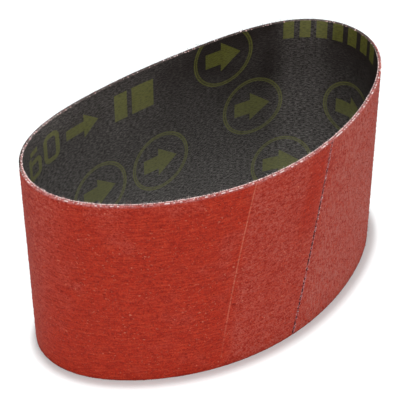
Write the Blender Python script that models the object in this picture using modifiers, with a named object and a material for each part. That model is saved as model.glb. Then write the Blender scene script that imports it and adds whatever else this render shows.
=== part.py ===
"""A coated-abrasive sanding belt, standing on one edge.

A strip of cloth with a coat of abrasive grain on its outside is bent into a loop. Its two ends are
cut on a slant and butted together, and a film tape across the inside holds them. The loop stands
free, so it takes the lopsided oval that such a belt springs open to. Metres, +Z up, with the origin
on the surface that the belt stands on, under the middle of the oval, whose long way lies along X.
"""

import math

import bmesh
import bpy
import numpy as np
from mathutils import Matrix

# The belt as it is sold: its length is measured round the inside
LOOP_LENGTH = 0.3937
BELT_WIDTH = 0.0889

# The layers from the inside out: woven cloth, the resin that holds the grain, and the coat of grain.
# The coat chips back a little from the slit edges of the cloth.
CLOTH_THICKNESS = 0.0007
RESIN_LINE = 0.0001
COAT_THICKNESS = 0.0005
COAT_INSET = 0.0003

# The butt splice, leaning from square across the belt
SPLICE_SLANT = math.radians(11.6)
SPLICE_GAP = 0.0003

# The film tape behind the splice, and the adhesive between it and the cloth
TAPE_WIDTH = 0.019
TAPE_THICKNESS = 0.0002
TAPE_INSET = 0.0005
BOND_LINE = 0.0001

# The free loop's shape. Each bend is its place, as a share of the way round from the splice, its
# spread, as a share of the loop, and the angle that the belt turns through in it. The rest of the
# full turn is spread evenly round the loop.
LEFT_END = (0.6883, 0.0519, math.radians(100.8))
RIGHT_END = (0.2390, 0.0568, math.radians(118.3))
FRONT_BOW = (0.9033, 0.2189, math.radians(102.8))
BENDS = (LEFT_END, RIGHT_END, FRONT_BOW)
SPLICE_HEADING = math.radians(8.75)

# How finely the loop is drawn, and how far a cutter reaches to each side of the wall
STATIONS = 192
FINE_STEPS = 24
CUTTER_REACH = 0.008

CLOTH_BROWN = (0.040, 0.036, 0.033, 1.0)
GRAIN_RED = (0.38, 0.034, 0.018, 1.0)
FILM_AMBER = (0.085, 0.060, 0.036, 1.0)


def clear_scene():
    for obj in list(bpy.data.objects):
        bpy.data.objects.remove(obj, do_unlink=True)


def new_collection(name):
    collection = bpy.data.collections.new(name)
    bpy.context.scene.collection.children.link(collection)
    return collection


def material(name, colour, roughness):
    made = bpy.data.materials.new(name)
    made.use_nodes = True
    made.diffuse_color = colour
    shader = made.node_tree.nodes["Principled BSDF"]
    shader.inputs["Base Color"].default_value = colour
    shader.inputs["Roughness"].default_value = roughness
    shader.inputs["Metallic"].default_value = 0.0
    return made


def outline_length(points):
    return np.linalg.norm(np.roll(points, -1, axis=0) - points, axis=1).sum()


def bend_rate(share):
    """How fast the belt turns, in radians for each whole loop, at each share of the way round."""
    rate = np.full_like(share, math.tau - sum(turn for _, _, turn in BENDS))
    for place, spread, turn in BENDS:
        away = (share - place + 0.5) % 1.0 - 0.5
        rate += turn * np.exp(-0.5 * (away / spread) ** 2) / (spread * math.sqrt(math.tau))
    return rate * math.tau / rate.mean()


def loop_outline():
    """Points of the inside face and their outward normals, seen from above, from the splice on."""
    count = STATIONS * FINE_STEPS
    share = np.arange(count) / count
    turned = bend_rate(share) / count
    heading = SPLICE_HEADING + np.concatenate(((0.0,), np.cumsum(turned)[:-1]))
    halfway = heading + turned / 2
    steps = np.column_stack((np.cos(halfway), np.sin(halfway)))
    walked = np.cumsum(steps, axis=0)
    # What the walk is short of closing is shared out round the loop
    points = walked - steps - share[:, None] * walked[-1]
    points *= LOOP_LENGTH / outline_length(points)
    normals = np.column_stack((np.sin(heading), -np.cos(heading)))
    outside = points + normals * (CLOTH_THICKNESS + RESIN_LINE + COAT_THICKNESS)
    points -= (outside.min(axis=0) + outside.max(axis=0)) / 2
    return points[::FINE_STEPS], normals[::FINE_STEPS]


def band(name, collection, look, setback, thickness, inset):
    """A closed band round the loop, from setback outside its inside face, inset from both edges."""
    points, normals = loop_outline()
    mesh = bmesh.new()
    ring = [mesh.verts.new((x, y, inset)) for x, y in points + normals * setback]
    edges = [mesh.edges.new((ring[i - 1], ring[i])) for i in range(len(ring))]
    raised = bmesh.ops.extrude_edge_only(mesh, edges=edges)["geom"]
    upper = [part for part in raised if isinstance(part, bmesh.types.BMVert)]
    bmesh.ops.translate(mesh, verts=upper, vec=(0, 0, BELT_WIDTH - 2 * inset))
    bmesh.ops.recalc_face_normals(mesh, faces=mesh.faces)
    data = bpy.data.meshes.new(name)
    mesh.to_mesh(data)
    mesh.free()
    data.materials.append(look)
    obj = bpy.data.objects.new(name, data)
    collection.objects.link(obj)
    wall = obj.modifiers.new("wall", "SOLIDIFY")
    wall.thickness = thickness
    wall.offset = 1.0
    wall.use_even_offset = True
    return obj


def splice_frame():
    """The middle of the splice: X runs round the loop and Z leans with the cut."""
    points, _ = loop_outline()
    place = Matrix.Translation((points[0][0], points[0][1], BELT_WIDTH / 2))
    turned = Matrix.Rotation(SPLICE_HEADING, 4, "Z")
    leaning = Matrix.Rotation(SPLICE_SLANT, 4, "Y")
    return place @ turned @ leaning


def cutter(name, collection, along):
    """A slab that leans across the belt at the splice, this much of the loop's way long."""
    bpy.ops.mesh.primitive_cube_add(size=1.0)
    obj = bpy.context.object
    obj.name = name
    for owner in list(obj.users_collection):
        owner.objects.unlink(obj)
    collection.objects.link(obj)
    height = 2 * (BELT_WIDTH + along)
    obj.data.transform(Matrix.Diagonal((along, 2 * CUTTER_REACH, height, 1.0)))
    obj.matrix_world = splice_frame()
    obj.display_type = "WIRE"
    obj.hide_render = True
    return obj


def cut(obj, tool, operation):
    boolean = obj.modifiers.new(tool.name, "BOOLEAN")
    boolean.operation = operation
    boolean.solver = "EXACT"
    boolean.object = tool


def cloth_backing(parts, butt):
    """The woven cloth strip, a loop that the slanted butt joint cuts through once."""
    look = material("backing_cloth", CLOTH_BROWN, 0.85)
    cloth = band("cloth_backing", parts, look, 0.0, CLOTH_THICKNESS, 0.0)
    cut(cloth, butt, "DIFFERENCE")


def abrasive_coat(parts, butt):
    """The coat of grain bonded all over the cloth's outside, cut by the same butt joint."""
    look = material("abrasive_grain", GRAIN_RED, 0.75)
    setback = CLOTH_THICKNESS + RESIN_LINE
    coat = band("abrasive_coat", parts, look, setback, COAT_THICKNESS, COAT_INSET)
    cut(coat, butt, "DIFFERENCE")


def splice_tape(parts, cutters):
    """The film tape bonded to the cloth's inside across the butt joint, trimmed to its slant."""
    look = material("splice_film", FILM_AMBER, 0.35)
    setback = -(BOND_LINE + TAPE_THICKNESS)
    tape = band("splice_tape", parts, look, setback, TAPE_THICKNESS, TAPE_INSET)
    cut(tape, cutter("tape_trim", cutters, TAPE_WIDTH), "INTERSECT")


def main():
    clear_scene()
    parts = new_collection("sanding_belt")
    cutters = new_collection("cutters")
    butt = cutter("splice_cut", cutters, SPLICE_GAP)
    cloth_backing(parts, butt)
    abrasive_coat(parts, butt)
    splice_tape(parts, cutters)


main()
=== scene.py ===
"""Studio scene of a sanding belt that stands on one edge, sprung open to a lopsided oval.

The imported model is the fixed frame. Each of its pieces is made again here with its fine surface:
the cloth strip with its printed inside and frayed edges, the coat of grain, and the film tape
behind the joint. Metres, +Z up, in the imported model's frame.
"""

import math

import bpy
import numpy as np
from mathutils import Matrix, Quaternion, Vector


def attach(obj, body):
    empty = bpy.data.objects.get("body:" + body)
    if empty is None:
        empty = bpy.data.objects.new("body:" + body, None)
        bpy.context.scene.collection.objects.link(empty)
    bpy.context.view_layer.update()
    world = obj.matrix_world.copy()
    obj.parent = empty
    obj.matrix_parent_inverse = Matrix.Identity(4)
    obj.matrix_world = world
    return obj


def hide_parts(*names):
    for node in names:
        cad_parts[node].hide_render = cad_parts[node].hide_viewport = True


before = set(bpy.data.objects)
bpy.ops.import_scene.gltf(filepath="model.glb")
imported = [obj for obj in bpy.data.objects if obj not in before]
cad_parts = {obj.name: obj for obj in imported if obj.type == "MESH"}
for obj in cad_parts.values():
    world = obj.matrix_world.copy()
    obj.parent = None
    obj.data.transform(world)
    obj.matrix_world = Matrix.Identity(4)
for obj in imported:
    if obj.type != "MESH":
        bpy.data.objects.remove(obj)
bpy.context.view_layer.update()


# The loop. A belt that stands free springs open to an oval, bowed more in front than behind. All
# pieces follow this one path: the cloth's inside face at the floor, run counter-clockwise from the
# middle of the butt joint. A bend is its place and spread, as shares of the loop, and its angle.
LOOP_LENGTH = 0.3937
BELT_WIDTH = 0.0889
BELT_THICKNESS = 0.0013
LEFT_END = (0.6883, 0.0519, math.radians(100.8))
RIGHT_END = (0.2390, 0.0568, math.radians(118.3))
FRONT_BOW = (0.9033, 0.2189, math.radians(102.8))
BENDS = (LEFT_END, RIGHT_END, FRONT_BOW)
JOINT_HEADING = math.radians(8.75)
PATH_POINTS = 1536


def turning(share):
    """How fast the belt turns, in radians for each whole loop, at each share of the way round."""
    rate = np.full_like(share, math.tau - sum(turn for _, _, turn in BENDS))
    for place, spread, turn in BENDS:
        away = (share - place + 0.5) % 1.0 - 0.5
        rate += turn * np.exp(-0.5 * (away / spread) ** 2) / (spread * math.sqrt(math.tau))
    return rate * math.tau / rate.mean()


def loop_path():
    """The path as a ring of edges, centred as the whole belt is."""
    share = np.arange(PATH_POINTS) / PATH_POINTS
    turned = turning(share) / PATH_POINTS
    heading = JOINT_HEADING + np.concatenate(((0.0,), np.cumsum(turned)[:-1]))
    halfway = heading + turned / 2
    steps = np.column_stack((np.cos(halfway), np.sin(halfway)))
    walked = np.cumsum(steps, axis=0)
    points = walked - steps - share[:, None] * walked[-1]
    points *= LOOP_LENGTH / np.linalg.norm(np.roll(points, -1, axis=0) - points, axis=1).sum()
    outside = points + BELT_THICKNESS * np.column_stack((np.sin(heading), -np.cos(heading)))
    points -= (outside.min(axis=0) + outside.max(axis=0)) / 2
    path = bpy.data.meshes.new("loop_path")
    corners = [(x, y, 0.0) for x, y in points]
    edges = [(i, (i + 1) % PATH_POINTS) for i in range(PATH_POINTS)]
    path.from_pydata(corners, edges, [])
    return path


path_ring = loop_path()


# The strips. Cloth, coat and tape are flat strips bent round the loop, and the joint leans across
# them. One tree shears a flat bar to that slant and carries it round the path. Its "strip"
# attribute keeps the way along the loop, the height and the depth from the inside face.
JOINT_SLANT = math.radians(11.6)
JOINT_GAP = 0.0003
EDGE_POWER = 60.0
END_POWER = 300.0
LUMPS_IN_DEPTH = 3
SIDES_APART = 7
CREASE_ANGLE = math.radians(40.0)


class Value:
    """One socket of a node tree. Arithmetic on it adds the Math nodes."""

    def __init__(self, graph, socket):
        self.graph = graph
        self.socket = socket

    def maths(self, operation, *terms):
        return self.graph.add("ShaderNodeMath", {"operation": operation}, dict(enumerate(terms)))

    def __add__(self, other):
        return self.maths("ADD", self, other)

    def __radd__(self, other):
        return self.maths("ADD", other, self)

    def __sub__(self, other):
        return self.maths("SUBTRACT", self, other)

    def __rsub__(self, other):
        return self.maths("SUBTRACT", other, self)

    def __mul__(self, other):
        return self.maths("MULTIPLY", self, other)

    def __rmul__(self, other):
        return self.maths("MULTIPLY", other, self)

    def __truediv__(self, other):
        return self.maths("DIVIDE", self, other)

    def __pow__(self, other):
        return self.maths("POWER", self, other)

    def __gt__(self, other):
        return self.maths("GREATER_THAN", self, other)

    def __lt__(self, other):
        return self.maths("LESS_THAN", self, other)

    def __abs__(self):
        return self.maths("ABSOLUTE", self)

    def most(self, other):
        return self.maths("MAXIMUM", self, other)

    def least(self, other):
        return self.maths("MINIMUM", self, other)

    def sign(self):
        return self.maths("SIGN", self)

    def root(self):
        return self.maths("SQRT", self)

    def wrapped(self, period):
        """Brought into 0 to period."""
        return self.maths("FLOORED_MODULO", self, period)

    def wave(self, pitch):
        """A sine wave that repeats at each pitch."""
        return self.maths("SINE", self * (math.tau / pitch))

    def clamped(self):
        """Kept within 0 to 1."""
        return self.least(1.0).most(0.0)

    def rise(self, low, high):
        """0 below low, 1 above high and smooth between them."""
        limits = {"Value": self, "From Min": low, "From Max": high}
        settings = {"interpolation_type": "SMOOTHSTEP"}
        return self.graph.add("ShaderNodeMapRange", settings, limits)

    def fall(self, low, high):
        """1 below low, 0 above high and smooth between them."""
        return 1 - self.rise(low, high)


class Graph:
    """A node tree that is built from expressions."""

    def __init__(self, tree):
        self.tree = tree

    def add(self, kind, settings=None, inputs=None, output=0):
        """One node. Its settings come first, then the values or links of its sockets."""
        node = self.tree.nodes.new(kind)
        for name, setting in (settings or {}).items():
            setattr(node, name, setting)
        for name, value in (inputs or {}).items():
            if isinstance(value, Value):
                self.tree.links.new(value.socket, node.inputs[name])
            else:
                node.inputs[name].default_value = value
        return Value(self, node.outputs[output])

    def parts(self, vector):
        """The three numbers of a vector."""
        first = self.add("ShaderNodeSeparateXYZ", None, {"Vector": vector})
        return [Value(self, socket) for socket in first.socket.node.outputs]

    def vector(self, x, y, z):
        return self.add("ShaderNodeCombineXYZ", None, {"X": x, "Y": y, "Z": z})

    def vectors(self, operation, *terms):
        return self.add("ShaderNodeVectorMath", {"operation": operation}, dict(enumerate(terms)))

    def scaled(self, vector, size):
        inputs = {"Vector": vector, "Scale": size}
        return self.add("ShaderNodeVectorMath", {"operation": "SCALE"}, inputs)

    def noise(self, vector, scale, detail=2.0, roughness=0.5):
        sizes = {"Vector": vector, "Scale": scale, "Detail": detail, "Roughness": roughness}
        return self.add("ShaderNodeTexNoise", None, sizes)


class Recipe(Graph):
    """A Geometry Nodes tree with named inputs, which makes plain meshes."""

    def __init__(self, name):
        super().__init__(bpy.data.node_groups.new(name, "GeometryNodeTree"))
        self.entry = self.tree.nodes.new("NodeGroupInput")
        self.ground = self.takes("Ground", "Geometry")

    def takes(self, name, kind="Float"):
        self.tree.interface.new_socket(name, in_out="INPUT", socket_type="NodeSocket" + kind)
        return Value(self, self.entry.outputs[name])

    def spot_beside(self, share, depth, height):
        """The point at a share of the way round the loop, out from its path and up."""
        path = self.add("GeometryNodeMeshToCurve", None, {"Mesh": self.ground})
        where = {"Curves": path, "Factor": share}
        spot = self.add("GeometryNodeSampleCurve", {"mode": "FACTOR"}, where, "Position")
        ahead = Value(self, spot.socket.node.outputs["Tangent"])
        away = self.vectors("NORMALIZE", self.vectors("CROSS_PRODUCT", ahead, (0, 0, 1)))
        flat = self.vectors("ADD", spot, self.scaled(away, depth))
        return self.vectors("ADD", flat, self.vector(0.0, 0.0, height))

    def random(self, low, high, seed):
        """A number, or a vector where the limits are vectors, for each point."""
        # The node's sockets differ with its kind: the lowest, the highest and the result
        kind, first, last, result = ("FLOAT", 2, 3, 1)
        if isinstance(low, tuple):
            kind, first, last, result = ("FLOAT_VECTOR", 0, 1, 0)
        inputs = {first: low, last: high, "Seed": seed}
        return self.add("FunctionNodeRandomValue", {"data_type": kind}, inputs, result)

    def marked(self, geometry, name, value, kind="FLOAT_VECTOR", domain="POINT"):
        """The geometry with a named attribute for the materials."""
        settings = {"data_type": kind, "domain": domain}
        inputs = {"Geometry": geometry, "Name": name, "Value": value}
        return self.add("GeometryNodeStoreNamedAttribute", settings, inputs)

    def gives(self, geometry):
        real = self.add("GeometryNodeRealizeInstances", None, {"Geometry": geometry})
        look = self.takes("Material", "Material")
        worn = self.add("GeometryNodeSetMaterial", None, {"Geometry": real, "Material": look})
        self.tree.interface.new_socket("Mesh", in_out="OUTPUT", socket_type="NodeSocketGeometry")
        leave = self.tree.nodes.new("NodeGroupOutput")
        self.tree.links.new(worn.socket, leave.inputs["Mesh"])

    def make(self, name, ground, sizes):
        """A new object whose plain mesh is what the tree makes of the ground mesh."""
        piece = bpy.data.objects.new(name, ground)
        bpy.context.scene.collection.objects.link(piece)
        step = piece.modifiers.new(name, "NODES")
        step.node_group = self.tree
        for socket in self.tree.interface.items_tree:
            if socket.in_out == "INPUT" and socket.name != "Ground":
                step[socket.identifier] = sizes[socket.name]
        graph = bpy.context.evaluated_depsgraph_get()
        made = bpy.data.meshes.new_from_object(piece.evaluated_get(graph))
        piece.modifiers.remove(step)
        piece.data = made
        made.name = name
        return piece


def strip_recipe():
    tree = Recipe("bent_strip")
    start = tree.takes("Start")
    run = tree.takes("Run")
    low = tree.takes("Lower Edge")
    high = tree.takes("Upper Edge")
    setback = tree.takes("Setback")
    thickness = tree.takes("Thickness")
    columns = tree.takes("Columns", "Int")
    rows = tree.takes("Rows", "Int")
    relief = tree.takes("Relief")
    chipping = tree.takes("Chipping")
    raggedness = tree.takes("Raggedness")
    grit = tree.takes("Grit")
    size = tree.vector(run, thickness, high - low)
    count = {"Size": size, "Vertices X": columns, "Vertices Y": 2, "Vertices Z": rows}
    bar = tree.add("GeometryNodeMeshCube", None, count)
    x, y, z = tree.parts(tree.add("GeometryNodeInputPosition"))
    # How near a point is to a long edge and to an end of the bar: 1 there and soon 0
    at_edge = abs(z * 2 / (high - low)) ** EDGE_POWER
    at_end = abs(x * 2 / run) ** END_POWER
    outward = 0.5 - y / thickness
    grain = tree.noise(tree.vector(x / grit, z / grit, y), 1.0)
    layer = outward * LUMPS_IN_DEPTH
    lump = tree.noise(tree.vector(x / grit, layer, z.sign() * SIDES_APART), 0.9)
    bite = tree.noise(tree.vector(z / grit, layer, x.sign() * SIDES_APART), 0.6, 3.0)
    bowed_z = z - z.sign() * at_edge * chipping * lump
    ragged_x = x - x.sign() * at_end * raggedness * (bite - 0.5).most(0.0)
    height = bowed_z + (low + high) / 2
    along = start + run / 2 + ragged_x + (height - BELT_WIDTH / 2) * math.tan(JOINT_SLANT)
    depth = setback + outward * (thickness + relief * (grain - 0.5))
    place = tree.spot_beside((along / LOOP_LENGTH).wrapped(1.0), depth, height)
    noted = tree.marked(bar, "strip", tree.vector(along, height, depth))
    bent = tree.add("GeometryNodeSetPosition", None, {"Geometry": noted, "Position": place})
    tree.gives(bent)
    return tree


bent_strip = strip_recipe()


def riding(piece):
    """Rides the belt and takes its record slot."""
    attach(piece, "root")


def strip_piece(name, sizes, replaced):
    """A strip with its long creases kept sharp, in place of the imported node."""
    piece = bent_strip.make(name, path_ring, sizes)
    piece.data.shade_smooth()
    piece.data.set_sharp_from_angle(angle=CREASE_ANGLE)
    riding(piece)
    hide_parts(replaced)
    return piece


# The cloth strip. A heavy woven cloth filled with dark resin, cut through once on a slant where its
# ends butt. Its inside carries an olive print, and its slit edges show the pale bare yarn. Sizes on
# the strip's own face, such as the print's, are in millimetres, as the materials read them.
CLOTH_THICKNESS = 0.0007
CLOTH_SHEEN = 0.14
CLOTH_DARK = (0.0082, 0.0046, 0.0037, 1.0)
CLOTH_BROWN = (0.0235, 0.0155, 0.0125, 1.0)
# The next two are the cloth's colours where light is painted on it, low down and at its left end
CLOTH_PAINTED_LIGHT = (0.395, 0.356, 0.336, 1.0)
CLOTH_PITS_PAINTED_LIGHT = (0.034, 0.030, 0.028, 1.0)
CLOTH_EDGE = (0.84, 0.63, 0.60, 1.0)
CLOTH_EDGE_PINK = (0.48, 0.19, 0.175, 1.0)
CLOTH_RESIN = (0.15, 0.062, 0.058, 1.0)
CLOTH_RELIEF = 0.0008
INK_OLIVE = (0.120, 0.118, 0.018, 1.0)
# The ink's colour where light is painted on the cloth
INK_PAINTED_LIGHT = (0.340, 0.340, 0.140, 1.0)
INK_SOFTNESS = 0.12
INK_DEPTH = (0.02, 0.06)
LOOP_MM = LOOP_LENGTH * 1000
WIDTH_MM = BELT_WIDTH * 1000
CROSS_YARN_PITCH = 0.62
LONG_YARN_PITCH = 0.55
RIPPLE_LENGTH = 1.7
RIPPLE_PITCH = 0.42
RIPPLE_WANDER = 5.0
# Painted light: how it fades up the cloth's height and grows towards its left end, and the painted
# gleam
PAINTED_LIGHT_HEIGHTS = (10.0, 84.0)
PAINTED_LIGHT_ALONG = (140.0, 250.0)
GLEAM_PLACE = 113.0
GLEAM_REACH = (4.0, 16.0)
PINK_DEPTHS = (0.1, 0.5)
BARE_EDGE = 0.2
# Where the rim's far half starts, going right from the joint, and how much later going left
FAR_REACH = (66.0, 76.0)
FAR_LATER = 60.0
# The print repeats along the loop. Rings: middle along and up. Arrows: length, shaft and head
PRINT_PERIOD = 196.85
PRINT_RINGS = (
    (121.0, 15.0), (135.5, 49.5), (182.0, 39.5), (214.0, 39.5), (150.0, 80.0), (89.0, 48.0),
)
RING_RADIUS = 14.0
RING_LINE = 0.64
RING_STEP = 1.0
RING_ARROW = (17.0, 7.0, 9.5)
FIGURES_START = 254.0
FIGURE_ROW = 76.5
FIGURE_STROKE = 2.2
# The six's bowl and the nought: middle across and up, half width, half height and corner
FIGURE_BOWLS = ((4.8, -2.9, 3.6, 3.6, 1.8), (16.0, 0.0, 3.6, 5.8, 2.4))
# The six's stem and top, and two blocks after the arrow: middle across and up, and half sizes
FIGURE_BLOCKS = (
    (1.2, -1.0, 1.1, 4.6), (4.4, 5.2, 2.8, 1.1), (53.0, 0.0, 3.2, 6.4), (64.0, 0.0, 5.4, 6.4),
)
FIGURE_ARROW_AT = 33.0
FIGURE_ARROW = (17.0, 4.6, 7.5)
ARROW_FLARE = 0.75
BARS_START = 131.0
BARS_END = 180.0
BAR_PITCH = 7.0
BAR_ROW = 89.0
BAR_HALF_SIZE = (2.3, 8.6)


class Surface(Graph):
    """A material's node tree, ending in one Principled shader."""

    def __init__(self, name):
        self.material = bpy.data.materials.new(name)
        self.material.use_nodes = True
        super().__init__(self.material.node_tree)
        self.shader = self.tree.nodes["Principled BSDF"]

    def feed(self, **inputs):
        """Sets or links the shader's sockets: base_color is Base Color."""
        for name, value in inputs.items():
            socket = self.shader.inputs[name.replace("_", " ").title()]
            if isinstance(value, Value):
                self.tree.links.new(value.socket, socket)
            else:
                socket.default_value = value

    def mix(self, share, first, second):
        """A colour between two."""
        # Sockets 6 and 7 are the node's two colours, and 2 is the colour that it gives
        inputs = {"Factor": share, 6: first, 7: second}
        return self.add("ShaderNodeMix", {"data_type": "RGBA"}, inputs, 2)

    def strip(self):
        """The way along the loop, the height and the depth, in millimetres."""
        named = self.add("ShaderNodeAttribute", {"attribute_name": "strip"}, None, "Vector")
        return [part * 1000 for part in self.parts(named)]

    def tone(self):
        """The random tone that each grain or thread was given."""
        return self.add("ShaderNodeAttribute", {"attribute_name": "tone"}, None, "Fac")

    def patches(self, along, height, layer, scale, detail=2.0, roughness=0.5):
        """Noise over the strip. Each layer is another pattern."""
        return self.noise(self.vector(along, height, layer), scale, detail, roughness)

    def shine(self, level):
        self.shader.inputs["Specular IOR Level"].default_value = level

    def bump(self, height, distance):
        return self.add("ShaderNodeBump", None, {"Height": height, "Distance": distance})


def drawn(off, reach=0.0):
    """1 where a distance is within the reach and 0 beyond it, with the ink's soft edge."""
    return off.fall(reach - INK_SOFTNESS, reach + INK_SOFTNESS)


def ring(x, y, radius, line):
    """1 on a drawn circle and 0 elsewhere."""
    return drawn(abs((x * x + y * y).root() - radius), line / 2)


def block(x, y, half_width, half_height):
    """1 inside a drawn rectangle and 0 elsewhere."""
    return drawn((abs(x) - half_width).most(abs(y) - half_height))


def bowl_line(x, y, half_width, half_height, corner):
    """1 on the outline of a rectangle with round corners."""
    beside = abs(x) - (half_width - corner)
    above = abs(y) - (half_height - corner)
    past_x = beside.most(0.0)
    past_y = above.most(0.0)
    inner = beside.most(above).least(0.0)
    off = abs((past_x * past_x + past_y * past_y).root() + inner - corner)
    return drawn(off, FIGURE_STROKE / 2)


def arrow(x, y, length, shaft, head):
    """1 inside an arrow that points along the loop."""
    body = block(x + head / 2, y, (length - head) / 2, shaft / 2)
    tip = (abs(y) - (length / 2 - x) * ARROW_FLARE).most(length / 2 - head - x)
    return body.most(drawn(tip))


def inside_print(along, height):
    """A plain print: rings with arrows, grit figures with an arrow, and bars at the upper edge."""
    marks = 0.0
    for ring_along, ring_height in PRINT_RINGS:
        x = (ring_along - along + PRINT_PERIOD / 2).wrapped(PRINT_PERIOD) - PRINT_PERIOD / 2
        y = height - ring_height
        outer = ring(x, y, RING_RADIUS, RING_LINE)
        inner = ring(x, y, RING_RADIUS - RING_STEP, RING_LINE) * 0.85
        between = ring(x, y, RING_RADIUS - RING_STEP / 2, RING_STEP) * 0.3
        marks = outer.most(inner).most(between).most(marks)
        marks = arrow(x, y, *RING_ARROW).most(marks)
    # Reading left to right, against the way along the loop, from where the figures start
    x = (FIGURES_START - along).wrapped(PRINT_PERIOD)
    y = height - FIGURE_ROW
    for across, up, *sizes in FIGURE_BOWLS:
        marks = marks.most(bowl_line(x - across, y - up, *sizes))
    for across, up, *sizes in FIGURE_BLOCKS:
        marks = marks.most(block(x - across, y - up, *sizes))
    marks = marks.most(arrow(x - FIGURE_ARROW_AT, y, *FIGURE_ARROW))
    bars = (x - BARS_START).wrapped(BAR_PITCH) - BAR_PITCH / 2
    inside = (x > BARS_START) * (x < BARS_END)
    return marks.most(block(bars, height - BAR_ROW, *BAR_HALF_SIZE) * inside)


def cloth_material():
    surface = Surface("backing_cloth")
    along, height, depth = surface.strip()
    cloudy = surface.patches(along, height, layer=0.0, scale=0.035, detail=3.0, roughness=0.6)
    wander = surface.patches(along, height, layer=3.0, scale=0.16)
    row = height / RIPPLE_PITCH + wander * RIPPLE_WANDER
    ripple = surface.patches(along / RIPPLE_LENGTH, row, layer=0.0, scale=1.0, detail=1.0)
    weave = along.wave(CROSS_YARN_PITCH) * height.wave(LONG_YARN_PITCH) * 0.5 + 0.5
    patchy = surface.patches(along, height, layer=8.0, scale=0.9, detail=1.0)
    fine = surface.patches(along, height, layer=1.0, scale=2.0, detail=1.0)
    # Painted light: the cloth is painted greyer low down and round its left end, standing in for
    # the floor's light and the room's reflection there, and a painted gleam lies where the right
    # end turns.
    # This share, with the cloudy patches, tints the cloth and its ink.
    paler = height.fall(*PAINTED_LIGHT_HEIGHTS) * 0.8 + along.rise(*PAINTED_LIGHT_ALONG) * 0.5
    gleam = abs(along - GLEAM_PLACE).fall(*GLEAM_REACH) * 0.3
    worn = (paler + gleam + (cloudy - 0.5) * 0.5).clamped()
    ground = surface.mix(worn, CLOTH_BROWN, CLOTH_PAINTED_LIGHT)
    pits = surface.mix(worn, CLOTH_DARK, CLOTH_PITS_PAINTED_LIGHT)
    crest = ripple.rise(0.4, 0.66) * 0.66 + weave * 0.08 + fine.rise(0.4, 0.64) * 0.36
    dark = surface.mix(crest, pits, ground)
    # The ink lies on the inside face only, and thinner in the ripple's hollows
    inked = inside_print(along, height) * (0.6 + 0.4 * ripple.rise(0.32, 0.6))
    inked = inked * depth.fall(*INK_DEPTH)
    # The ink is painted paler and greyer where light is painted on the cloth
    printed = surface.mix(inked, dark, surface.mix(worn, INK_OLIVE, INK_PAINTED_LIGHT))
    # The near half of the slit shows its yarn, palest at the inside, and the far half only flecks
    from_top = WIDTH_MM - height
    far = along.least(LOOP_MM - FAR_LATER - along).rise(*FAR_REACH)
    hidden = 0.93 * far * patchy.fall(0.58, 0.68)
    bare = from_top.fall(BARE_EDGE, 0.26 * fine + 0.24) * (1 - hidden)
    yarn = surface.mix(depth.rise(*PINK_DEPTHS), CLOTH_EDGE, CLOTH_EDGE_PINK)
    yarn = surface.mix(fine.rise(0.48, 0.6) * 0.75, yarn, CLOTH_RESIN)
    colour = surface.mix(bare, printed, yarn)
    bump = surface.bump(ripple * 0.8 + weave * 0.2 + fine * 0.6, CLOTH_RELIEF)
    surface.feed(base_color=colour, roughness=0.44 + 0.25 * fine, normal=bump)
    surface.shine(CLOTH_SHEEN)
    return surface.material


cloth_sizes = {
    "Start": JOINT_GAP / 2,
    "Run": LOOP_LENGTH - JOINT_GAP,
    "Lower Edge": 0.0,
    "Upper Edge": BELT_WIDTH,
    "Setback": 0.0,
    "Thickness": CLOTH_THICKNESS,
    "Columns": 700,
    "Rows": 34,
    "Relief": 0.0,
    "Chipping": 0.00022,
    "Raggedness": 0.0,
    "Grit": 0.0009,
    "Material": cloth_material(),
}
cloth = strip_piece("cloth_strip", cloth_sizes, "cloth_backing")


# The grain coat. Sharp mineral grain in orange-red resin, bonded all over the cloth's outside and
# slit with it, so its edges are chipped. The splice press has rubbed it chalky round the joint, and
# the press's edge has left a thin pale line before it.
RESIN_LINE = 0.0001
COAT_THICKNESS = 0.0005
COAT_INSET = 0.0001
COAT_GAP = 0.0001
COAT_SHEEN = 0.11
COAT_RELIEF = 0.0005
GRAIN_RED = (0.380, 0.0222, 0.0082, 1.0)
GRAIN_BRIGHT = (0.49, 0.052, 0.021, 1.0)
GRAIN_DEEP = (0.215, 0.0105, 0.0050, 1.0)
# The chalk's colour, also used as painted sheen where the belt's ends turn away
GRAIN_CHALK_AND_SHEEN = (0.388, 0.098, 0.075, 1.0)
GRAIN_WHITE = (0.88, 0.78, 0.76, 1.0)
GRAIN_PINK = (0.50, 0.19, 0.18, 1.0)
GRAIN_SOILED = (0.050, 0.035, 0.031, 1.0)
GRAIN_FLECK = (0.60, 0.19, 0.12, 1.0)
GRAIN_LILAC = (0.40, 0.22, 0.24, 1.0)
GRAIN_SHADE = (0.10, 0.018, 0.016, 1.0)
GRAIN_CREVICE = (0.020, 0.007, 0.010, 1.0)
PRESS_LINE_LOW = 34.5
PRESS_LINE_LEAN = 0.1
PRESS_LINE_BOW = 0.00065
PRESS_LINE_WIDTH = 0.45
PRESSED_END = (95.0, 125.0)
SPARED_BEFORE = 6.0
SPARED_REACH = (2.0, 8.0)
SPARED_HEIGHTS = (35.0, 70.0)
# Painted sheen at the left end, where it turns away: where it fades out towards the joint and
# beyond
LEFT_SHEEN_NEAR = (-120.0, -100.0)
LEFT_SHEEN_FAR = (-190.0, -150.0)
BESIDE_JOINT = 0.25
BESIDE_REACH = (0.4, 1.0)
CREVICE_REACH = (0.27, 0.48)
CREVICE_HEIGHTS = (50.0, 75.0)
DUSTY_REACH = (0.1, 1.4)
SOILED_REACH = (0.45, 0.8)
CHIPPED_REACH = (0.1, 0.4)
SHADED_BELOW = 0.6
SHADED_REACH = (0.1, 0.4)
FOOT_REACH = (0.1, 0.7)


def joint_distance(along, height):
    """How far a point is past the joint, negative before it, in millimetres."""
    joint = (height - WIDTH_MM / 2) * math.tan(JOINT_SLANT)
    return (along - joint + LOOP_MM / 2).wrapped(LOOP_MM) - LOOP_MM / 2


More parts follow.
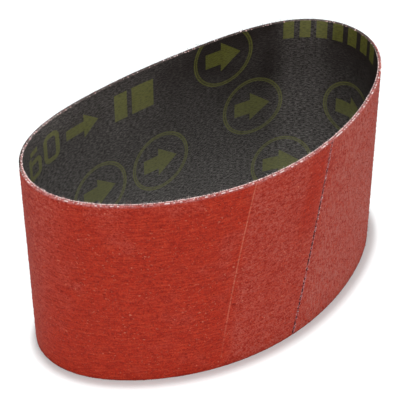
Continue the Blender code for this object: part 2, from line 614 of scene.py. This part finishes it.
def coat_material():
    surface = Surface("abrasive_grain")
    along, height, _ = surface.strip()
    past = joint_distance(along, height)
    cloudy = surface.patches(along, height, layer=0.0, scale=0.05, detail=3.0, roughness=0.6)
    patchy = surface.patches(along, height, layer=9.0, scale=0.17)
    mottle = surface.patches(along, height, layer=2.0, scale=0.8, roughness=0.6)
    streak = surface.patches(along * 0.16, height * 1.2, layer=4.0, scale=1.0)
    upright = surface.patches(along * 1.3, height * 0.24, layer=5.0, scale=1.0)
    fleck = surface.patches(along * 0.8, height, layer=6.0, scale=1.0, detail=1.0)
    speck = surface.patches(along, height, layer=12.0, scale=1.7, detail=1.0)
    breaks = surface.patches(past * 0.6, height, layer=21.0, scale=0.75, detail=1.0)
    wander = surface.patches(0.0, height, layer=23.0, scale=0.4, detail=1.0)

    ground = mottle.rise(0.3, 0.7) * 0.5 + speck.rise(0.3, 0.66) * 0.5
    bright = streak.rise(0.42, 0.72) * 0.42 + speck.rise(0.55, 0.75) * 0.4
    # Chalky from the press line, past the joint and on round the right end, where the chalk is
    # partly painted sheen of the turning end. A little painted sheen, in the chalky colour, lies at
    # the left end where it turns away, and a little chalk in smudges.
    press = PRESS_LINE_LOW + height * (PRESS_LINE_LEAN - height * PRESS_LINE_BOW)
    pressed = (past + press).rise(-0.5, 8.0 - height * 0.08) * past.fall(*PRESSED_END)
    spared = abs(past + SPARED_BEFORE).fall(*SPARED_REACH) * height.rise(*SPARED_HEIGHTS) * 0.3
    paler = 0.28 + past.rise(-10.0, 14.0) * 0.1 + 0.5 * (cloudy - 0.5) - spared
    # Painted sheen, in the chalky colour, where the left end turns away
    left_end_sheen = past.fall(*LEFT_SHEEN_NEAR) * past.rise(*LEFT_SHEEN_FAR) * 0.28
    smudged = cloudy.rise(0.5, 0.72) * 0.2
    chalk_and_sheen = (pressed * paler).most(left_end_sheen).most(smudged)
    grainy = mottle.rise(0.36, 0.64) * 0.45 + speck.rise(0.38, 0.62) * 0.55
    grainy = grainy + upright.rise(0.42, 0.58) * past.rise(-2.0, 8.0) * 0.55
    grainy_chalk_and_sheen = (chalk_and_sheen * (2.4 * grainy - 0.4)).clamped()
    flecks = fleck.rise(0.64, 0.72) * patchy.rise(0.4, 0.62) * 0.5
    # The press's edge left its line, which fades towards the foot
    line = abs(past + press).fall(PRESS_LINE_WIDTH / 4, PRESS_LINE_WIDTH)
    line = line * ((height / WIDTH_MM).rise(-0.1, 0.5) * mottle.rise(0.25, 0.55)) * 0.42
    # The joint is a dark broken crevice with pale crumbs beside it
    beside = abs(past - BESIDE_JOINT).fall(*BESIDE_REACH)
    crevice = abs(past + (wander - 0.5)).fall(*CREVICE_REACH) * breaks.rise(0.43, 0.5)
    crevice = crevice * (0.96 - 0.3 * height.rise(*CREVICE_HEIGHTS))
    # The slit edge is dusty pink on the near half, soiled on the far half, and chipped
    from_top = WIDTH_MM - height
    far = past.most(-FAR_LATER - past).rise(*FAR_REACH)
    dusty = from_top.fall(*DUSTY_REACH) * (0.1 + 0.8 * speck.rise(0.3, 0.66)) * (1 - far)
    soiled = from_top.fall(*SOILED_REACH) * far
    chipped = from_top.fall(*CHIPPED_REACH) * fleck.rise(0.54, 0.62) * (1 - 0.85 * far) * 0.8
    shaded = abs(from_top - SHADED_BELOW).fall(*SHADED_REACH) * breaks.fall(0.4, 0.55) * 0.5
    shaded = shaded.most(height.fall(*FOOT_REACH) * 0.75) * 0.8

    red = surface.mix(ground, GRAIN_DEEP, GRAIN_RED)
    layers = (
        (bright, GRAIN_BRIGHT),
        (grainy_chalk_and_sheen, GRAIN_CHALK_AND_SHEEN),
        (flecks, GRAIN_FLECK),
        (line, GRAIN_FLECK),
        (beside * speck.rise(0.4, 0.6) * 0.6, GRAIN_LILAC),
        (beside * fleck.rise(0.61, 0.67) * 0.5, GRAIN_WHITE),
        (crevice, GRAIN_CREVICE),
        (dusty, GRAIN_PINK),
        (soiled, GRAIN_SOILED),
        (chipped, GRAIN_WHITE),
        (shaded, GRAIN_SHADE),
    )
    for share, colour in layers:
        red = surface.mix(share, red, colour)
    bump = surface.bump(mottle * 0.5 + speck * 0.5 + streak * 0.5, COAT_RELIEF)
    surface.feed(base_color=red, roughness=0.62 + 0.25 * speck, normal=bump)
    surface.shine(COAT_SHEEN)
    return surface.material


coat_setback = CLOTH_THICKNESS + RESIN_LINE
coat_sizes = {
    "Start": COAT_GAP / 2,
    "Run": LOOP_LENGTH - COAT_GAP,
    "Lower Edge": COAT_INSET,
    "Upper Edge": BELT_WIDTH - COAT_INSET,
    "Setback": coat_setback,
    "Thickness": COAT_THICKNESS,
    "Columns": 320,
    "Rows": 150,
    "Relief": 0.00022,
    "Chipping": 0.00016,
    "Raggedness": 0.0022,
    "Grit": 0.0011,
    "Material": coat_material(),
}
coat = strip_piece("grain_coat", coat_sizes, "abrasive_coat")


# The proud grains. The largest grains stand out of the resin all over the coat's outer face, each a
# small faceted stone with its own size, turn and tone. Slitting has knocked them off along the
# upper edge. Geometry Nodes scatters them.
GRAIN_COUNT_PER_M2 = 5.2e5
GRAIN_SMALL = 0.00016
GRAIN_LARGE = 0.00034
GRAIN_BARE_EDGE = 0.0009
GRAIN_PALE = (0.56, 0.18, 0.11, 1.0)


def grain_recipe():
    tree = Recipe("scattered_grain")
    density = tree.takes("Density")
    small = tree.takes("Smallest")
    large = tree.takes("Largest")
    outer = tree.takes("Outer Depth")
    highest = tree.takes("Highest")
    settings = {"data_type": "FLOAT_VECTOR"}
    noted = tree.add("GeometryNodeInputNamedAttribute", settings, {"Name": "strip"})
    _, height, depth = tree.parts(noted)
    held = (depth > outer) * (height < highest)
    where = {"Mesh": tree.ground, "Selection": held, "Density": density, "Seed": 4}
    points = tree.add("GeometryNodeDistributePointsOnFaces", None, where)
    stone = tree.add("GeometryNodeMeshUVSphere", None, {"Segments": 4, "Rings": 2, "Radius": 1.0})
    sides = tree.random((0.6, 0.6, 0.6), (1.0, 1.0, 1.0), seed=5)
    size = tree.scaled(sides, tree.random(small, large, seed=6))
    turn = tree.random((0.0, 0.0, 0.0), (math.tau, math.tau, math.tau), seed=7)
    spread = {"Points": points, "Instance": stone, "Rotation": turn, "Scale": size}
    grains = tree.add("GeometryNodeInstanceOnPoints", None, spread)
    tone = tree.random(0.0, 1.0, seed=8)
    tree.gives(tree.marked(grains, "tone", tone, "FLOAT", "INSTANCE"))
    return tree


def grain_material():
    surface = Surface("proud_grain")
    tone = surface.tone()
    red = surface.mix(tone.rise(0.0, 0.9), GRAIN_DEEP, GRAIN_BRIGHT)
    red = surface.mix(tone.rise(0.97, 0.995) * 0.6, red, GRAIN_PALE)
    surface.feed(base_color=red, roughness=0.5)
    surface.shine(COAT_SHEEN)
    return surface.material


grain_sizes = {
    "Density": GRAIN_COUNT_PER_M2,
    "Smallest": GRAIN_SMALL,
    "Largest": GRAIN_LARGE,
    "Outer Depth": coat_setback + COAT_THICKNESS * 0.7,
    "Highest": BELT_WIDTH - GRAIN_BARE_EDGE,
    "Material": grain_material(),
}
riding(grain_recipe().make("proud_grains", coat.data, grain_sizes))


# The splice tape. A thin reinforced film bonded to the cloth's inside across the joint and trimmed
# to its slant. It is smoky amber, with fine threads that run along the belt to carry its pull.
TAPE_WIDTH = 0.019
TAPE_THICKNESS = 0.0002
TAPE_INSET = 0.0005
BOND_LINE = 0.0001
FILM_AMBER = (0.085, 0.060, 0.036, 1.0)
FILM_THREAD = (0.20, 0.155, 0.095, 1.0)
FILM_RELIEF = 0.0001
THREAD_PITCH = 0.55


def tape_material():
    surface = Surface("splice_film")
    along, height, _ = surface.strip()
    cord = (height.wave(THREAD_PITCH) * 0.5 + 0.5) ** 3.0
    smoky = surface.patches(along, height, layer=0.0, scale=0.3)
    colour = surface.mix(cord * 0.55 + smoky.rise(0.3, 0.8) * 0.25, FILM_AMBER, FILM_THREAD)
    bump = surface.bump(cord * 0.6 + smoky * 0.4, FILM_RELIEF)
    surface.feed(base_color=colour, roughness=0.28 + 0.15 * smoky, normal=bump)
    return surface.material


tape_sizes = {
    "Start": -TAPE_WIDTH / 2,
    "Run": TAPE_WIDTH,
    "Lower Edge": TAPE_INSET,
    "Upper Edge": BELT_WIDTH - TAPE_INSET,
    "Setback": -(BOND_LINE + TAPE_THICKNESS),
    "Thickness": TAPE_THICKNESS,
    "Columns": 40,
    "Rows": 90,
    "Relief": 0.0,
    "Chipping": 0.0,
    "Raggedness": 0.0003,
    "Grit": 0.001,
    "Material": tape_material(),
}
strip_piece("splice_film", tape_sizes, "splice_tape")


# The slit edges. Slitting cuts every cross yarn, so a row of blunt yarn ends stands along both
# edges, with finer loose fibres among them. Both are pale cotton tinted by the resin, and dark with
# it along the far half. One tree makes both, as bent threads on points along the path.
YARN_PITCH = 0.0008
YARN_PALE = (0.95, 0.80, 0.78, 1.0)
YARN_TINTED = (0.66, 0.34, 0.32, 1.0)
YARN_GRUBBY = (0.075, 0.054, 0.048, 1.0)
YARN_FUZZ = 9000.0
YARN_RELIEF = 0.00005
# The way from front to back across the oval, and where along it the yarn turns dark, in metres
FAR_WAY = (0.6, 0.8)
GRUBBY_REACH = (-0.012, 0.006)
THREAD_ROOT = 0.0002
FLOOR_CLEARANCE = 0.00003


def thread_recipe():
    tree = Recipe("edge_threads")
    count = tree.takes("Count", "Int")
    evenness = tree.takes("Evenness")
    height = tree.takes("Height")
    inner = tree.takes("Inner Depth")
    outer = tree.takes("Outer Depth")
    length = tree.takes("Length")
    radius = tree.takes("Radius")
    curl = tree.takes("Curl")
    lift = tree.takes("Lift")
    sides = tree.takes("Sides", "Int")
    bends = tree.takes("Bends", "Int")
    index = tree.add("GeometryNodeInputIndex")
    even = (index + tree.random(0.0, 0.6, seed=11)) / count
    share = even * evenness + tree.random(0.0, 1.0, seed=12) * (1 - evenness)
    depth = inner + (outer - inner) * tree.random(0.0, 1.0, seed=13)
    root = tree.spot_beside(share, depth, height)
    points = tree.add("GeometryNodePoints", None, {"Count": count, "Position": root})
    scatter = tree.random((-1.0, -1.0, -0.25), (1.0, 1.0, 0.25), seed=14)
    lean = tree.vectors("ADD", scatter, tree.vector(0.0, 0.0, lift))
    stand = tree.add("FunctionNodeAlignRotationToVector", {"axis": "Z"}, {"Vector": lean})
    # Each thread bows out one way at its middle and another way at its tip
    middle = tree.vector(curl * length, 0.0, length * 0.45)
    tip = tree.vector(curl * length * 0.2, curl * length, length)
    bow = {"Resolution": bends, "Start": (0, 0, 0), "Middle": middle, "End": tip}
    spine = tree.add("GeometryNodeCurveQuadraticBezier", None, bow)
    round_shape = {"Resolution": sides, "Radius": radius}
    section = tree.add("GeometryNodeCurvePrimitiveCircle", None, round_shape)
    tube = {"Curve": spine, "Profile Curve": section, "Fill Caps": True}
    thread = tree.add("GeometryNodeCurveToMesh", None, tube)
    size = tree.random(0.35, 1.0, seed=15)
    spread = {"Points": points, "Instance": thread, "Rotation": stand, "Scale": size}
    threads = tree.add("GeometryNodeInstanceOnPoints", None, spread)
    toned = tree.marked(threads, "tone", tree.random(0.0, 1.0, seed=16), "FLOAT", "INSTANCE")
    real = tree.add("GeometryNodeRealizeInstances", None, {"Geometry": toned})
    x, y, z = tree.parts(tree.add("GeometryNodeInputPosition"))
    above = tree.vector(x, y, z.most(FLOOR_CLEARANCE))
    tree.gives(tree.add("GeometryNodeSetPosition", None, {"Geometry": real, "Position": above}))
    return tree


def yarn_material():
    surface = Surface("bare_yarn")
    tone = surface.tone()
    place = surface.add("ShaderNodeTexCoord", None, None, "Object")
    fuzz = surface.noise(place, YARN_FUZZ)
    colour = surface.mix(tone.rise(0.1, 0.8), YARN_TINTED, YARN_PALE)
    # Those along the far half of the loop are dark with resin, all but a few
    x, y, _ = surface.parts(place)
    far = (x * FAR_WAY[0] + y * FAR_WAY[1]).rise(*GRUBBY_REACH)
    colour = surface.mix(far * (1 - tone.rise(0.86, 0.9)), colour, YARN_GRUBBY)
    bump = surface.bump(fuzz, YARN_RELIEF)
    surface.feed(base_color=colour, roughness=0.7 + 0.25 * fuzz, normal=bump)
    return surface.material


edge_threads = thread_recipe()
yarn_look = yarn_material()
yarn_sizes = {
    "Count": round(LOOP_LENGTH / YARN_PITCH),
    "Evenness": 0.6,
    "Inner Depth": 0.0001,
    "Outer Depth": 0.0007,
    "Length": 0.0005,
    "Radius": 0.0002,
    "Curl": 0.15,
    "Sides": 6,
    "Bends": 2,
    "Material": yarn_look,
}
fibre_sizes = {
    "Count": 700,
    "Evenness": 0.0,
    "Inner Depth": 0.0001,
    "Outer Depth": 0.0011,
    "Length": 0.0013,
    "Radius": 0.000035,
    "Curl": 0.55,
    "Sides": 3,
    "Bends": 4,
    "Material": yarn_look,
}
for edge, height, lift in (("upper", BELT_WIDTH - THREAD_ROOT, 1.1), ("lower", THREAD_ROOT, -0.1)):
    ends_here = {**yarn_sizes, "Height": height, "Lift": lift * 2}
    fibres_here = {**fibre_sizes, "Height": height, "Lift": lift}
    riding(edge_threads.make(edge + "_yarn_ends", path_ring, ends_here))
    riding(edge_threads.make(edge + "_fibres", path_ring, fibres_here))


# The studio. A white floor with a white backdrop. A small lamp high above and just behind the belt
# leaves the narrow shadow along its foot, and two soft lamps in front light its grain. The floor's
# own glow, which only the camera sees, starts a little way off and hides where the floor ends.
FLOOR_SIZE = 6.0
FLOOR_WHITE = (0.84, 0.89, 0.895, 1.0)
FLOOR_GLOW = 0.08
GLOW_REACH = (0.15, 0.6)
WHITE = (1.0, 1.0, 1.0, 1.0)
WORLD_LEVEL = 0.46
LAMP_AIM = Vector((0.0, 0.0, 0.04))


def floor_material():
    surface = Surface("studio_floor")
    camera_ray = surface.add("ShaderNodeLightPath", None, None, "Is Camera Ray")
    surface.feed(base_color=FLOOR_WHITE, roughness=0.9, emission_color=WHITE)
    place = surface.add("ShaderNodeTexCoord", None, None, "Object")
    x, y, _ = surface.parts(place)
    far = (x * x + y * y).root().rise(*GLOW_REACH)
    glow = camera_ray * (FLOOR_GLOW + (1 - FLOOR_GLOW) * far)
    surface.tree.links.new(glow.socket, surface.shader.inputs["Emission Strength"])
    return surface.material


bpy.ops.mesh.primitive_plane_add(size=FLOOR_SIZE)
floor = bpy.context.object
floor.name = "studio_floor"
floor.data.materials.append(floor_material())

world = bpy.data.worlds.new("studio")
bpy.context.scene.world = world
world.use_nodes = True
sky = Graph(world.node_tree)
background = world.node_tree.nodes["Background"]
background.inputs["Color"].default_value = WHITE
seen = sky.add("ShaderNodeLightPath", None, None, "Is Camera Ray")
glossy = sky.add("ShaderNodeLightPath", None, None, "Is Glossy Ray")
level = WORLD_LEVEL + (1 - WORLD_LEVEL) * seen.most(glossy)
world.node_tree.links.new(level.socket, background.inputs["Strength"])


def soft_lamp(name, place, size, power):
    """A square lamp that faces the belt's middle."""
    data = bpy.data.lights.new(name, "AREA")
    data.size = size
    data.energy = power
    lamp = bpy.data.objects.new(name, data)
    bpy.context.scene.collection.objects.link(lamp)
    lamp.location = place
    lamp.rotation_euler = (LAMP_AIM - lamp.location).to_track_quat("-Z", "Y").to_euler()


soft_lamp("top_lamp", (-0.002, 0.062, 2.6), size=0.12, power=46.0)
soft_lamp("key_lamp", (-1.0, -1.2, 0.65), size=1.0, power=10.7)
soft_lamp("fill_lamp", (1.0, -1.2, 0.55), size=1.0, power=2.2)


# The camera. It looks down on the belt from in front and to the left of the joint, through a long
# lens that keeps the oval nearly free of perspective.
CAMERA_HEADING = math.radians(37.335)
CAMERA_DROP = math.radians(39.497)
CAMERA_ROLL = math.radians(-0.322)
CAMERA_AIM = Vector((-0.005247, 0.005838, 0.04445))
CAMERA_DISTANCE = 0.618468
CAMERA_LENS = 138.2
SENSOR_WIDTH = 36.0
NEAREST_SEEN = 0.01

look = Vector((
    math.sin(CAMERA_HEADING) * math.cos(CAMERA_DROP),
    math.cos(CAMERA_HEADING) * math.cos(CAMERA_DROP),
    -math.sin(CAMERA_DROP),
))
camera_data = bpy.data.cameras.new("camera")
camera_data.lens = CAMERA_LENS
camera_data.sensor_width = SENSOR_WIDTH
camera_data.clip_start = NEAREST_SEEN
camera = bpy.data.objects.new("camera", camera_data)
bpy.context.scene.collection.objects.link(camera)
camera.location = CAMERA_AIM - look * CAMERA_DISTANCE
camera.rotation_mode = "QUATERNION"
camera.rotation_quaternion = look.to_track_quat("-Z", "Y") @ Quaternion((0, 0, 1), CAMERA_ROLL)
bpy.context.scene.camera = camera
bpy.context.scene.view_settings.view_transform = "Standard"
